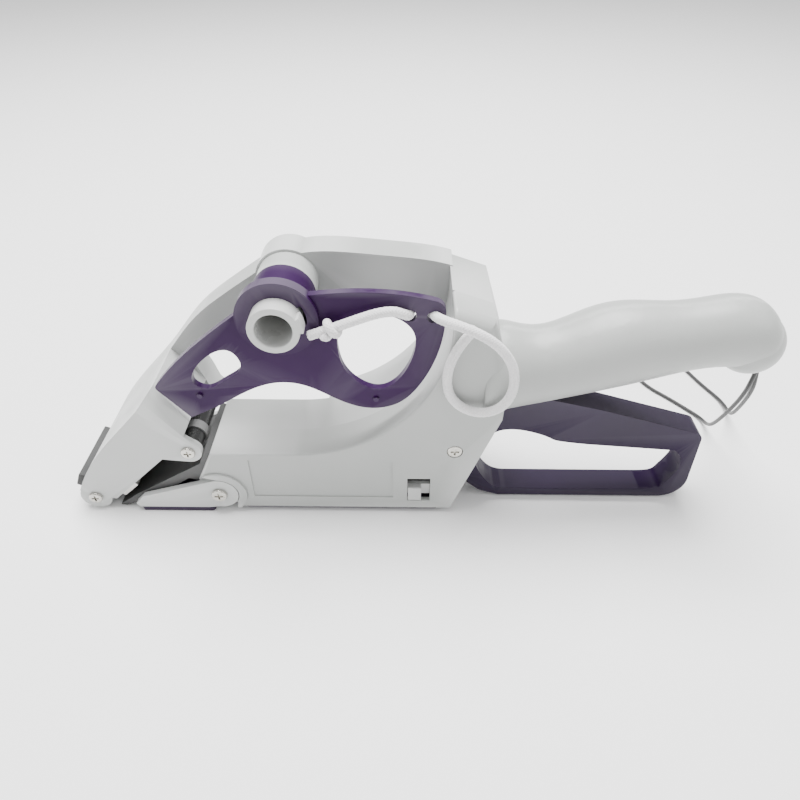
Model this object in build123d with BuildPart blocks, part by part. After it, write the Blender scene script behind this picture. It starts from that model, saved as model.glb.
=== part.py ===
from build123d import *
from math import cos, hypot, pi, radians, sin, tan
import os

os.makedirs("parts", exist_ok=True)

# Frame: X runs from the nose to the handle, Y away from the near side, Z up.
# The origin is on the base, straight below the label roll's spindle.

# Casing
half_width = 24.0          # casing's side faces, along Y
wall = 2.2                 # moulded wall
gap = 0.4                  # air between pieces that move past each other
run_fit = 0.05             # radial clearance of a pin in its hole
base_thick = 3.0
parting_y = -8.0           # plane where the two shells meet, and the handle's middle
body_front_x = -43.0
body_rear_x = 67.5
spindle_z = 100.0          # height of the roll's axis
pocket_r = 64.5            # roll pocket, about the spindle
shoulder_x = 80.0
shoulder_z = 101.0
near_y = -half_width
far_y = half_width

# Arch that carries the spindle, on the far side
arch_depth = 13.5
arch_near_y = far_y - arch_depth
arch_top_z = 111.0
arch_band = 22.0           # depth of the arch's band below its top
boss_r = 13.2
collar_r = 12.2
collar_reach = 10.3        # collar that the roll guide stops against

# Spindle tube and roll guide
tube_r = 9.6
tube_wall = 2.7
tube_reach = 37.5          # from the arch's face to the tube's open end
sleeve_r = 12.4            # fits a 25.4 mm label core
hub_r = 15.5
guide_thick = 3.0
guide_r = 61.6             # outer radius of the guide plate, about the spindle
guide_stand = 7.2          # tube that stands out of the hub
lug_height = 1.8
rope_hole_r = 2.5

# Nose
roller_x = -91.0           # applying roller in the nose tip
roller_z = 7.6
roller_r = 7.2
tip_r = 6.9
nose_plate = 2.8
nose_seam_y = 0.0
tab_x = -44.0              # guide roller above the chute
tab_z = 36.0
tab_r = 5.6
web_roller_r = 4.6

# Gate under the nose
pivot_x = -34.5
pivot_z = 11.7
arm_thick = 2.6
arm_r = 8.2
arm_tip_x = -73.0
gate_end_x = -38.5         # rear end of the gate's plate
gate_roller_x = -58.0
gate_roller_z = 7.6
gate_roller_r = 2.7

# Handle: x, height of the axis, radius
handle_stations = [
    (78.0, 66.0, 18.5),
    (97.0, 72.0, 16.5),
    (118.0, 78.8, 17.3),
    (140.0, 84.0, 16.2),
    (162.0, 88.0, 14.2),
    (176.0, 89.2, 14.4),
    (184.5, 87.2, 12.8),
    (189.5, 85.4, 8.8),
]
handle_lip = (181.0, 84.5, 13.0)    # rounded end: x, height, radius
handle_squash = 0.96       # width over height

# Trigger
trigger_width = 12.0
trigger_x = 77.5           # pivot
trigger_z = 52.0
trigger_end_x = 175.0
trigger_foot_z = 1.0
trigger_band = 4.4
trigger_swing = 14.0
pin_r = 2.5
drive_pin_x = 54.0
drive_pin_z = 20.0
drive_pin_r = 2.0

# Feed drive in the lower body
shaft_x = -14.0
shaft_z = 17.5
shaft_r = 2.5
drive_roller_r = 10.0
ratchet_r = 8.0
ratchet_teeth = 12
slide_y = 3.0              # middle of the feed slide
slide_thick = 5.0
press_roller_r = 4.0

# Cords
rope_r = 1.8
strap_r = 0.9


def side(y):
    """Plane seen from the near side, with X to the right and Z up. Extrusions run towards the near side."""
    return Plane(origin=(0, y, 0), x_dir=(1, 0, 0), z_dir=(0, -1, 0))


def save(builder, label):
    builder.part.label = label
    export_step(builder.part, f"parts/{label}.step")
    return builder.part


def disc(x, z, radius, y_far, y_near):
    """A plain cylinder along Y, for cuts and bosses."""
    with BuildPart() as piece:
        with BuildSketch(side(y_far)):
            with Locations((x, z)):
                Circle(radius)
        extrude(amount=y_far - y_near)
    return piece.part


def prism(points, y_far, y_near):
    """A straight-sided block along Y, for cuts and ribs."""
    with BuildPart() as piece:
        with BuildSketch(side(y_far)):
            with BuildLine():
                Polyline(*points, close=True)
            make_face()
        extrude(amount=y_far - y_near)
    return piece.part


# ---- Casing outlines, in the side view ----

pocket_floor_z = spindle_z - pocket_r
shell_foot_z = base_thick
rear_top = (87.0, 78.0)


def lower_outline(inset=0.0):
    """Lower body and shoulder: flat foot, raked front, roll pocket and shoulder above the handle's root."""
    with BuildSketch() as sk:
        with BuildLine():
            Polyline(
                (0, pocket_floor_z),
                (body_front_x + 8, pocket_floor_z),
                (body_front_x, pocket_floor_z - 17),
                (body_front_x, shell_foot_z),
                (body_rear_x, shell_foot_z),
                (body_rear_x + 18.5, shell_foot_z + 53),
                rear_top,
                (shoulder_x, shoulder_z),
                (pocket_r, spindle_z + 6.5),
                (pocket_r, spindle_z),
            )
            CenterArc((0, spindle_z), pocket_r, 270, 90)
        make_face()
        if inset > 0:
            offset(amount=-inset, kind=Kind.INTERSECTION)
    return sk.sketch


nose_top = (-54.8, 65.4)
nose_foot = (-97.2, 11.5)


def front_curve():
    """Front of the nose, from the arch down to the tip. Called inside a BuildLine."""
    return Spline(
        nose_top,
        (-79.6, 38.0),
        nose_foot,
        tangents=[(-0.62, -0.78), (-0.42, -0.9)],
    )


def inset_knots(knots, inset):
    """Points of a curve moved inwards. Each knot is x, z and the direction of the outside, in degrees."""
    return [(x - inset * cos(radians(a)), z - inset * sin(radians(a))) for x, z, a in knots]


arch_outer_knots = [
    (pocket_r + 1, spindle_z + 6.6, 70),
    (36, arch_top_z, 88),
    (2, spindle_z + 10.6, 100),
    (-20, spindle_z - 2, 128),
    (-41, 81.8, 133),
    (nose_top[0], nose_top[1], 141),
]
arch_inner_knots = [
    (-47, 60, -41),
    (-31, 71.5, -48),
    (-8, 84.5, -70),
    (30, arch_top_z - arch_band, -92),
    (52, 85.5, -110),
    (62, 76, -150),
]


def arch_band_outline(inset=0.0):
    """Band over the spindle, from the shoulder to the nose."""
    outer = inset_knots(arch_outer_knots, inset)
    inner = inset_knots(arch_inner_knots, inset)
    with BuildSketch() as sk:
        with BuildLine():
            Spline(*outer, tangents=[(-0.93, 0.3), (-0.62, -0.78)])
            Line(outer[-1], inner[0])
            Spline(*inner, tangents=[(0.75, 0.66), (0.5, -0.86)])
            Polyline(inner[-1], (pocket_r + 8, 74), outer[0])
        make_face()
    return sk.sketch


def far_nose_outline():
    """Far side of the nose with its bearing lugs."""
    with BuildSketch() as sk:
        with BuildLine():
            front_curve()
            Polyline(
                nose_foot,
                (roller_x, roller_z),
                (-82, 6.5),
                (-56, 31.6),
                (tab_x - 2, tab_z - tab_r),
                (tab_x + 4, tab_z + 3),
                (-42.6, 48.3),
                (-47, 60),
                nose_top,
            )
        make_face()
        with Locations((tab_x, tab_z)):
            Circle(tab_r)
        with Locations((roller_x, roller_z)):
            Circle(tip_r)
    return sk.sketch


nose_corners = [
    nose_top,
    (-79.6, 38.0),
    nose_foot,
    (roller_x, roller_z),
    (-82, 6.5),
    (-56, 31.6),
    (-47.5, 38.5),
    (-42.6, 48.3),
]


def inset_corners(points, inset):
    """Corners of a closed outline, listed anticlockwise, moved inwards along both of their sides."""
    moved = []
    for index, here in enumerate(points):
        before = points[index - 1]
        after = points[(index + 1) % len(points)]
        side_in = Vector(before[1] - here[1], here[0] - before[0]).normalized()
        side_out = Vector(here[1] - after[1], after[0] - here[0]).normalized()
        shift = (side_in + side_out) * (inset / (1 + side_in.dot(side_out)))
        moved.append((here[0] + shift.X, here[1] + shift.Y))
    return moved


def nose_outline(inset=0.0):
    """Wedge between the arch's foot and the roller slot."""
    corners = inset_corners(nose_corners, inset)
    with BuildSketch() as sk:
        with BuildLine():
            Spline(*corners[:3], tangents=[(-0.62, -0.78), (-0.42, -0.9)])
            Polyline(*corners[2:], corners[0])
        make_face()
    return sk.sketch


def tab_outline():
    """Lug that carries a guide roller screw, hulled back into the nose."""
    with BuildSketch() as sk:
        with BuildLine():
            Polyline(
                (-56, 31.6),
                (tab_x - 0.5, tab_z - tab_r),
                (tab_x + 4.6, tab_z + 3.2),
                (-47, 46),
                close=True,
            )
        make_face()
        with Locations((tab_x, tab_z)):
            Circle(tab_r)
        with Locations((roller_x, roller_z)):
            Circle(tip_r)
    return sk.sketch


def handle_loft(stations, skin):
    """Handle's outside, or its inside when skin is the wall."""
    with BuildPart() as grip:
        for x, z, radius in stations:
            plane = Plane(origin=(x, parting_y, z), x_dir=(0, 1, 0), z_dir=(1, 0, 0))
            with BuildSketch(plane):
                Ellipse((radius - skin) * handle_squash, radius - skin)
        loft()
    return grip.part


with BuildPart() as handle_solid:
    add(handle_loft(handle_stations, 0.0))
    with Locations((handle_lip[0], parting_y, handle_lip[1])):
        Sphere(handle_lip[2])
handle_outer = handle_solid.part
handle_inner = handle_loft(handle_stations[:-1], wall)
lower_out = lower_outline()
lower_in = lower_outline(wall)
arch_face = arch_band_outline()
arch_channel = arch_band_outline(wall)
far_nose_face = far_nose_outline()
nose_face = nose_outline()
nose_in = nose_outline(wall)
tab_face = tab_outline()


# ---- Cuts that both shells share ----

trigger_far_y = parting_y + trigger_width / 2
trigger_near_y = parting_y - trigger_width / 2
slot_far_y = trigger_far_y + gap
slot_near_y = trigger_near_y - gap
boss_far_y = slot_far_y + 0.2
boss_near_y = slot_near_y - 0.2
inner_near_y = near_y + wall
inner_far_y = far_y - wall
arm_recess_y = half_width - 2.0   # floor of the gate arm's recess
pad_y = half_width - 5.5          # inside of the pad behind that recess
ring_r = 12.0
ring_height = 1.0
screw_posts = [(30.0, 34.0), (73.0, 90.0), (150.0, 86.0)]
near_screw = (68.0, 38.0)
handle_start_x = 100.0
far_screw_y = far_y - 1.6  # under the far screws' heads
grip_screw_y = 5.0         # under the head of the screw in the handle
post_r = 3.3
screw_hole_r = 1.1
shaft_bush_r = 4.0
window = [(48.3, 7.6), (58.3, 7.6), (58.3, 21.5), (48.3, 21.5)]

trigger_slot = prism(
    [(62, 2), (90, 2), (108, 50), (137, 60), (137, 74), (100, 64), (80, 61)],
    slot_far_y,
    slot_near_y,
)
foot_opening = prism(
    [(body_front_x + wall, 2), (body_front_x + wall, 6), (66, 6), (66, 2)],
    inner_far_y,
    inner_near_y,
)
foot_clip = prism([(-60, -5), (90, -5), (90, base_thick), (-60, base_thick)], 40, -40)
front_clip = prism([(-70, -5), (body_front_x, -5), (body_front_x, 60), (-70, 60)], 40, -40)
liner_slot = prism([(body_front_x - 1, 8), (body_front_x + 3, 8), (body_front_x + 3, 15), (body_front_x - 1, 15)], 16, -16)
strap_x = 188.0
strap_hole_r = 3.2
with BuildPart() as strap_hole:
    with BuildSketch(Plane(origin=(strap_x, parting_y, 60))):
        Circle(strap_hole_r)
    extrude(amount=17)


def gate_pad(sign):
    """Pad, ring and recess that carry one gate arm, on the far side (1) or the near side (-1)."""
    block = sorted([sign * pad_y, sign * half_width])
    ring = sorted([sign * half_width, sign * (half_width + ring_height)])
    recess = sorted([sign * arm_recess_y, sign * (half_width + 5)])
    with BuildPart() as pad:
        add(prism([(body_front_x, 3), (-25, 3), (-25, 22), (body_front_x + 2, 22), (body_front_x, 18)], block[1], block[0]))
        add(disc(pivot_x, pivot_z, ring_r, ring[1], ring[0]))
        add(front_clip, mode=Mode.SUBTRACT)
        add(foot_clip, mode=Mode.SUBTRACT)
    with BuildPart() as cut:
        add(disc(pivot_x, pivot_z, arm_r + gap, recess[1], recess[0]))
        add(prism([(-50, -1), (pivot_x, -1), (pivot_x, pivot_z + arm_r + gap), (-50, 25)], recess[1], recess[0]))
        add(prism([(pivot_x, -1), (pivot_x + 6, -1), (pivot_x + 7.5, 6.7), (pivot_x, pivot_z)], recess[1], recess[0]))
    return pad.part, cut.part


def near_side_edges(part, y):
    return part.edges().filter_by_position(Axis.Y, y - 0.01, y + 0.01)


# ---- Near shell ----

with BuildPart() as near_body:
    with BuildSketch(side(parting_y)):
        add(lower_out)
    extrude(amount=parting_y - near_y)
    rim = near_side_edges(near_body, near_y)
    fillet([e for e in rim if e.center().X > 66 and e.center().Z > 70], 5)
    rim = near_side_edges(near_body, near_y)
    fillet([e for e in rim if e.center().X < 66.5 and e.center().Z > 6], 1.0)

with BuildPart() as near_grip:
    add(handle_outer)
    split(bisect_by=side(parting_y), keep=Keep.TOP)

with BuildPart() as near_grip_hollow:
    add(handle_inner)
    split(bisect_by=side(parting_y), keep=Keep.TOP)

with BuildPart() as near_cavity:
    with BuildSketch(side(parting_y)):
        add(lower_in)
    extrude(amount=parting_y - inner_near_y)

near_pad, near_recess = gate_pad(-1)

with BuildPart() as near_shell:
    add(near_body.part)
    add(near_grip.part)
    add(near_cavity.part, mode=Mode.SUBTRACT)
    add(near_grip_hollow.part, mode=Mode.SUBTRACT)
    add(foot_opening, mode=Mode.SUBTRACT)
    add(near_pad)
    add(disc(trigger_x, trigger_z, pin_r + 3, boss_near_y, near_y + 1))
    add(disc(shaft_x, shaft_z, shaft_bush_r + 2, inner_near_y + 2, near_y + 1))
    for x, z in screw_posts:
        add(disc(x, z, post_r, parting_y, near_y + 3 if x > handle_start_x else near_y + 1))
    add(disc(near_screw[0], near_screw[1], post_r, parting_y, near_y + 1))
    add(near_recess, mode=Mode.SUBTRACT)
    add(trigger_slot, mode=Mode.SUBTRACT)
    add(liner_slot, mode=Mode.SUBTRACT)
    add(strap_hole.part, mode=Mode.SUBTRACT)
    add(disc(trigger_x, trigger_z, pin_r, parting_y, inner_near_y), mode=Mode.SUBTRACT)
    add(disc(shaft_x, shaft_z, shaft_bush_r, parting_y, inner_near_y), mode=Mode.SUBTRACT)
    for x, z in screw_posts:
        add(disc(x, z, screw_hole_r, parting_y, parting_y - 9), mode=Mode.SUBTRACT)
    add(disc(near_screw[0], near_screw[1], screw_hole_r, parting_y, near_y), mode=Mode.SUBTRACT)
    add(disc(near_screw[0], near_screw[1], 3.4, near_y + 1.2, near_y - 5), mode=Mode.SUBTRACT)
    add(disc(pivot_x, pivot_z, screw_hole_r, parting_y, near_y), mode=Mode.SUBTRACT)
    add(prism(window, parting_y, near_y - 1), mode=Mode.SUBTRACT)
    add(prism([(-19.5, 9.5), (42, 9.5), (42, 32), (-19.5, 32)], near_y + 0.5, near_y - 1), mode=Mode.SUBTRACT)
save(near_shell, "near_shell")


# ---- Far shell: far half of the casing, with the arch, the spindle boss and the far side of the nose ----

far_slope = 12.0           # lower body's top slopes down towards the far side
skin_slope = wall * 1.41

with BuildPart() as slope_cut:
    with BuildSketch(Plane.YZ.offset(-60)):
        with BuildLine():
            Polyline(
                (far_y - far_slope, pocket_floor_z),
                (far_y + 1, pocket_floor_z - far_slope - 1),
                (far_y + 1, 60),
                (far_y - far_slope, 60),
                close=True,
            )
        make_face()
    extrude(amount=72)

with BuildPart() as slope_hollow:
    with BuildSketch(Plane.YZ.offset(-60)):
        with BuildLine():
            Polyline(
                (far_y - far_slope, pocket_floor_z - skin_slope),
                (far_y + 1, pocket_floor_z - far_slope - 1 - skin_slope),
                (far_y + 1, 60),
                (far_y - far_slope, 60),
                close=True,
            )
        make_face()
    extrude(amount=72 + wall)

with BuildPart() as far_body:
    with BuildSketch(side(far_y)):
        add(lower_out)
    extrude(amount=far_y - parting_y)
    add(slope_cut.part, mode=Mode.SUBTRACT)
    rim = near_side_edges(far_body, far_y)
    fillet([e for e in rim if e.center().X > 66 and e.center().Z > 8], 4)

with BuildPart() as far_cavity:
    with BuildSketch(side(inner_far_y)):
        add(lower_in)
    extrude(amount=inner_far_y - parting_y)
    add(slope_hollow.part, mode=Mode.SUBTRACT)

with BuildPart() as far_grip:
    add(handle_outer)
    split(bisect_by=side(parting_y), keep=Keep.BOTTOM)

with BuildPart() as far_grip_hollow:
    add(handle_inner)
    split(bisect_by=side(parting_y), keep=Keep.BOTTOM)

tube_start_y = arch_near_y + 6.0
cover_thick = 1.8

with BuildPart() as arch:
    with BuildSketch(side(far_y)):
        add(arch_face)
        add(far_nose_face)
        with Locations((0, spindle_z)):
            Circle(boss_r)
    extrude(amount=arch_depth)
    with BuildSketch(side(arch_near_y)):
        with Locations((0, spindle_z)):
            Circle(collar_r)
    extrude(amount=collar_reach)
    with BuildSketch(side(arch_near_y)):
        add(nose_face)
    extrude(amount=arch_near_y - nose_seam_y)

with BuildPart() as arch_hollow:
    with BuildSketch(side(far_y + 1)):
        add(arch_channel)
        with Locations((0, spindle_z)):
            Circle(boss_r - 0.8, mode=Mode.SUBTRACT)
    extrude(amount=arch_depth + 1 - wall)

with BuildPart() as nose_far_hollow:
    with BuildSketch(side(far_y - wall)):
        add(nose_in)
    extrude(amount=far_y - wall - nose_seam_y)

roller_slot = disc(roller_x, roller_z, roller_r + 0.6, arch_near_y, -30)
far_pad, far_recess = gate_pad(1)

with BuildPart() as far_shell:
    add(far_body.part)
    add(far_grip.part)
    add(arch.part)
    add(arch_hollow.part, mode=Mode.SUBTRACT)
    add(nose_far_hollow.part, mode=Mode.SUBTRACT)
    add(far_cavity.part, mode=Mode.SUBTRACT)
    add(far_grip_hollow.part, mode=Mode.SUBTRACT)
    add(foot_opening, mode=Mode.SUBTRACT)
    add(roller_slot, mode=Mode.SUBTRACT)
    add(far_pad)
    add(disc(trigger_x, trigger_z, pin_r + 3, far_y - 1, boss_far_y))
    add(disc(shaft_x, shaft_z, shaft_bush_r + 2, far_y - 1, inner_far_y - 2))
    for x, z in screw_posts:
        add(disc(x, z, post_r, far_y - 1 if x < handle_start_x else grip_screw_y + 0.6, parting_y))
    add(disc(near_screw[0], near_screw[1], post_r, far_y - 1, parting_y))
    add(disc(near_screw[0], near_screw[1], screw_hole_r, parting_y + 12, parting_y), mode=Mode.SUBTRACT)
    add(far_recess, mode=Mode.SUBTRACT)
    add(trigger_slot, mode=Mode.SUBTRACT)
    add(liner_slot, mode=Mode.SUBTRACT)
    add(strap_hole.part, mode=Mode.SUBTRACT)
    add(disc(tab_x, tab_z, web_roller_r + 1.0, arch_near_y, nose_seam_y - 1), mode=Mode.SUBTRACT)
    add(disc(trigger_x, trigger_z, pin_r, inner_far_y, parting_y), mode=Mode.SUBTRACT)
    add(disc(shaft_x, shaft_z, shaft_bush_r, inner_far_y, parting_y), mode=Mode.SUBTRACT)
    add(disc(0, spindle_z, tube_r, tube_start_y, -5), mode=Mode.SUBTRACT)
    add(disc(tab_x, tab_z, screw_hole_r, far_y + 1, 0), mode=Mode.SUBTRACT)
    add(disc(roller_x, roller_z, screw_hole_r, far_y + 1, 0), mode=Mode.SUBTRACT)
    add(disc(pivot_x, pivot_z, screw_hole_r, far_y, 5), mode=Mode.SUBTRACT)
    for x, z in screw_posts:
        add(disc(x, z, screw_hole_r + 0.4, far_y + 1, parting_y - 1), mode=Mode.SUBTRACT)
        add(disc(x, z, 2.6, far_y + 1, far_screw_y if x < handle_start_x else grip_screw_y), mode=Mode.SUBTRACT)
save(far_shell, "far_shell")

with BuildPart() as arch_cover:
    with BuildSketch(side(far_y)):
        add(arch_channel)
        with Locations((0, spindle_z)):
            Circle(boss_r - 0.8, mode=Mode.SUBTRACT)
    extrude(amount=cover_thick)
    add(far_body.part, mode=Mode.SUBTRACT)
save(arch_cover, "arch_cover")


# ---- Nose ----

nose_near_y = near_y + 0.5
fold_start = (-59.3, 56.5)
fold_end = (-45.5, 43.3)
fold_rise = 9.0
fold_length = hypot(fold_end[0] - fold_start[0], fold_end[1] - fold_start[1])
fold_dir = ((fold_end[0] - fold_start[0]) / fold_length, 0, (fold_end[1] - fold_start[1]) / fold_length)
fold_up = (-fold_dir[2], 0, fold_dir[0])

with BuildPart() as fold_cut:
    with BuildSketch(Plane(origin=(fold_start[0], nose_near_y, fold_start[1]), x_dir=fold_up, z_dir=fold_dir)):
        with BuildLine():
            Polyline((0, 0), (fold_rise * 2, 0), (fold_rise * 2, -fold_rise * 1.85), close=True)
        make_face()
    extrude(amount=30, both=True)

with BuildPart() as nose_hollow:
    with BuildSketch(side(nose_seam_y)):
        add(nose_in)
    extrude(amount=nose_seam_y - nose_near_y - nose_plate)
    add(fold_cut.part.moved(Location((-fold_up[0] * wall, wall, -fold_up[2] * wall))), mode=Mode.SUBTRACT)

with BuildPart() as nose_cover:
    with BuildSketch(side(nose_seam_y)):
        add(nose_face)
    extrude(amount=nose_seam_y - nose_near_y)
    with BuildSketch(side(nose_near_y + nose_plate)):
        add(tab_face)
    extrude(amount=nose_plate)
    add(nose_hollow.part, mode=Mode.SUBTRACT)
    add(fold_cut.part, mode=Mode.SUBTRACT)
    add(disc(roller_x, roller_z, roller_r + 0.6, 1, nose_near_y + nose_plate), mode=Mode.SUBTRACT)
    add(disc(tab_x, tab_z, web_roller_r + 1.0, 1, nose_near_y + nose_plate), mode=Mode.SUBTRACT)
    add(disc(tab_x, tab_z, screw_hole_r, 1, -30), mode=Mode.SUBTRACT)
    add(disc(roller_x, roller_z, screw_hole_r, 1, -30), mode=Mode.SUBTRACT)
save(nose_cover, "nose_cover")


def cross_screw(x, z, face_y, sign, head_r, head_high, shank_r, shank_long):
    """Pan-head screw along Y with a cross recess. The head's underside is at face_y and sign is the head's way out."""
    with BuildPart() as screw:
        with BuildSketch(Plane(origin=(x, face_y, z), x_dir=(1, 0, 0), z_dir=(0, sign, 0))):
            Circle(head_r)
        extrude(amount=head_high)
        top = screw.faces().sort_by(Axis.Y)[-1 if sign > 0 else 0]
        fillet(top.edges(), head_high * 0.45)
        with BuildSketch(Plane(origin=(x, face_y, z), x_dir=(1, 0, 0), z_dir=(0, -sign, 0))):
            Circle(shank_r)
        extrude(amount=shank_long)
        with BuildSketch(Plane(origin=(x, face_y + sign * head_high, z), x_dir=(1, 0, 0), z_dir=(0, -sign, 0))):
            Rectangle(head_r * 1.1, head_r * 0.26)
            Rectangle(head_r * 0.26, head_r * 1.1)
        extrude(amount=head_high * 0.6, mode=Mode.SUBTRACT)
    return screw.part


def roller_between(x, z, y_far, y_near, radius, bore):
    """Roller along Y with rounded rims and a bore."""
    with BuildPart() as piece:
        with BuildSketch(side(y_far)):
            with Locations((x, z)):
                Circle(radius)
        extrude(amount=y_far - y_near)
        ends = piece.edges().filter_by(GeomType.CIRCLE)
        fillet(ends, 0.5)
        with BuildSketch(side(y_far)):
            with Locations((x, z)):
                Circle(bore)
        extrude(amount=y_far - y_near, mode=Mode.SUBTRACT)
    return piece


nose_inner_y = nose_near_y + nose_plate
roller_far_y = arch_near_y - 0.4
roller_near_y = nose_inner_y + 0.4
axle_r = 1.8
nose_roller = roller_between(roller_x, roller_z, roller_far_y, roller_near_y, roller_r, axle_r + run_fit)
save(nose_roller, "nose_roller")
web_roller = roller_between(tab_x, tab_z, roller_far_y, roller_near_y, web_roller_r, axle_r + run_fit)
save(web_roller, "web_roller")

with BuildPart() as roller_ring:
    with BuildSketch(side(-8.5)):
        with Locations((tab_x, tab_z)):
            Circle(web_roller_r + 0.7)
            Circle(web_roller_r, mode=Mode.SUBTRACT)
    extrude(amount=4.5)
save(roller_ring, "web_roller_ring")

for name, x, z in [("nose_roller_axle", roller_x, roller_z), ("web_roller_axle", tab_x, tab_z)]:
    with BuildPart() as axle:
        add(disc(x, z, axle_r, arch_near_y, nose_inner_y))
        add(disc(x, z, screw_hole_r, arch_near_y, nose_inner_y), mode=Mode.SUBTRACT)
    save(axle, name)

nose_screws = Compound(
    children=[
        cross_screw(x, z, face, sign, 3.0, 1.3, screw_hole_r, 9.0)
        for x, z in [(roller_x, roller_z), (tab_x, tab_z)]
        for face, sign in [(nose_near_y, -1), (far_y, 1)]
    ]
)
nose_screws.label = "nose_screws"
export_step(nose_screws, "parts/nose_screws.step")

with BuildPart() as peel_bar:
    with BuildSketch(side(arch_near_y)):
        with BuildLine():
            Polyline((-81.0, 7.4), (-79.2, 5.6), (-72.0, 12.4), (-73.8, 14.3), close=True)
        make_face()
    extrude(amount=arch_near_y - nose_inner_y)
save(peel_bar, "peel_bar")

with BuildPart() as nose_block:
    with BuildSketch(side(arch_near_y)):
        add(nose_face)
    extrude(amount=arch_near_y - nose_near_y)
with BuildPart() as press_pad:
    add(prism([(-95.5, 11.0), (-99.4, 12.6), (-96.6, 19.2), (-92.5, 17.3)], arch_near_y, nose_inner_y))
    add(nose_block.part, mode=Mode.SUBTRACT)
    proud_edges = press_pad.edges().filter_by(Axis.Y).sort_by(Axis.X)[0:2]
    fillet(proud_edges, 0.7)
save(press_pad, "press_pad")

chute_near_y = near_y + 2.0
chute_far_y = arch_near_y
with BuildPart() as chute:
    with BuildSketch(side(chute_far_y)):
        with BuildLine():
            Polyline(
                (-35.8, 33.8),
                (-38.2, 34.6),
                (-41.2, 27.6),
                (-72.5, 8.2),
                (-82.6, 0.9),
                (-79.5, 0.5),
                (-66.0, 6.0),
                (-47.5, 18.6),
                (body_front_x, 17.4),
                (body_front_x, 18.5),
                close=True,
            )
        make_face()
    extrude(amount=chute_far_y - chute_near_y)
    long_edges = chute.edges().filter_by(Axis.Y)
    fillet([e for e in long_edges if e.center().X < body_front_x - 1], 0.5)
save(chute, "label_chute")


# ---- Base and gate ----

base_half = half_width - 0.5
base_front_x = pivot_x + 9.4
base_rear_x = body_rear_x - 5.0
with BuildPart() as base_plate:
    with BuildSketch(Plane.XY):
        with Locations(((base_front_x + base_rear_x) / 2, 0)):
            RectangleRounded(base_rear_x - base_front_x, 2 * base_half, 2.0)
    extrude(amount=base_thick)
    rear_edge = base_plate.edges().filter_by(Axis.Y).group_by(Axis.X)[-1].sort_by(Axis.Z)[0:1]
    chamfer(rear_edge, 2.0)
save(base_plate, "base_plate")


def gate_arm(sign):
    """Tapered arm from the pivot to the gate's front bar."""
    low, high = sorted([sign * (arm_recess_y + gap), sign * (arm_recess_y + gap + arm_thick)])
    with BuildPart() as arm:
        with BuildSketch(side(high)):
            with Locations((pivot_x, pivot_z)):
                Circle(arm_r)
            with BuildLine():
                Polyline(
                    (pivot_x - 2.2, pivot_z + 7.9),
                    (arm_tip_x + 4, 9.6),
                    (arm_tip_x, 5.2),
                    (arm_tip_x + 1.0, base_thick),
                    (pivot_x - 6, base_thick),
                    (pivot_x - 1, pivot_z - 8.1),
                    (pivot_x + 4, pivot_z),
                    close=True,
                )
            make_face()
        extrude(amount=high - low)
        add(disc(pivot_x, pivot_z, 2.0 + run_fit, high, low), mode=Mode.SUBTRACT)
    return arm


gate_arm_near = gate_arm(-1)
save(gate_arm_near, "gate_arm_near")
gate_arm_far = gate_arm(1)
save(gate_arm_far, "gate_arm_far")

gate_half = arm_recess_y + gap + arm_thick
with BuildPart() as gate_plate:
    with BuildSketch(Plane.XY):
        with Locations(((gate_end_x - 71.5) / 2, 0)):
            RectangleRounded(gate_end_x + 71.5, 2 * gate_half - 1.0, 1.5)
    extrude(amount=base_thick)
save(gate_plate, "gate_plate")

gate_inner = arm_recess_y + gap
gate_roller = roller_between(gate_roller_x, gate_roller_z, gate_inner - 0.4, -gate_inner + 0.4, gate_roller_r, 1.5 + run_fit)
save(gate_roller, "gate_roller")
with BuildPart() as gate_axle:
    add(disc(gate_roller_x, gate_roller_z, 1.5, gate_inner, -gate_inner))
save(gate_axle, "gate_axle")

pivot_parts = []
for sign in (-1, 1):
    outer = sign * (gate_half + 0.15)
    screw = cross_screw(pivot_x, pivot_z, outer, sign, 3.4, 1.4, screw_hole_r, 7.5)
    low, high = sorted([sign * arm_recess_y, outer])
    sleeve = disc(pivot_x, pivot_z, 2.0, high, low)
    pivot_parts.append(screw.fuse(sleeve))
gate_pivots = Compound(children=[p.solids()[0] for p in pivot_parts])
gate_pivots.label = "gate_pivot_screws"
export_step(gate_pivots, "parts/gate_pivot_screws.step")


# ---- Spindle and roll guide ----

tube_end_y = arch_near_y - tube_reach
lug_r = tube_r + 1.2
with BuildPart() as spindle_tube:
    add(disc(0, spindle_z, tube_r, tube_start_y, tube_end_y))
    with BuildSketch(side(tube_end_y + 5)):
        with BuildLine():
            Polyline((0, spindle_z), (lug_r + 3, spindle_z - 1), (lug_r + 3, spindle_z + 8), close=True)
        make_face()
        with Locations((0, spindle_z)):
            Circle(lug_r, mode=Mode.INTERSECT)
    extrude(amount=5)
    add(disc(0, spindle_z, tube_r - tube_wall, tube_start_y, tube_end_y), mode=Mode.SUBTRACT)
    rims = near_side_edges(spindle_tube, tube_end_y)
    fillet(rims.filter_by(GeomType.CIRCLE), 0.5)
save(spindle_tube, "spindle_tube")

hub_near_y = tube_end_y + guide_stand
plate_near_y = hub_near_y + 1.6
plate_far_y = plate_near_y + guide_thick
sleeve_far_y = arch_near_y - collar_reach - gap
rope_holes = [(48.6, 101.4), (57.4, 100.8)]


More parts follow.
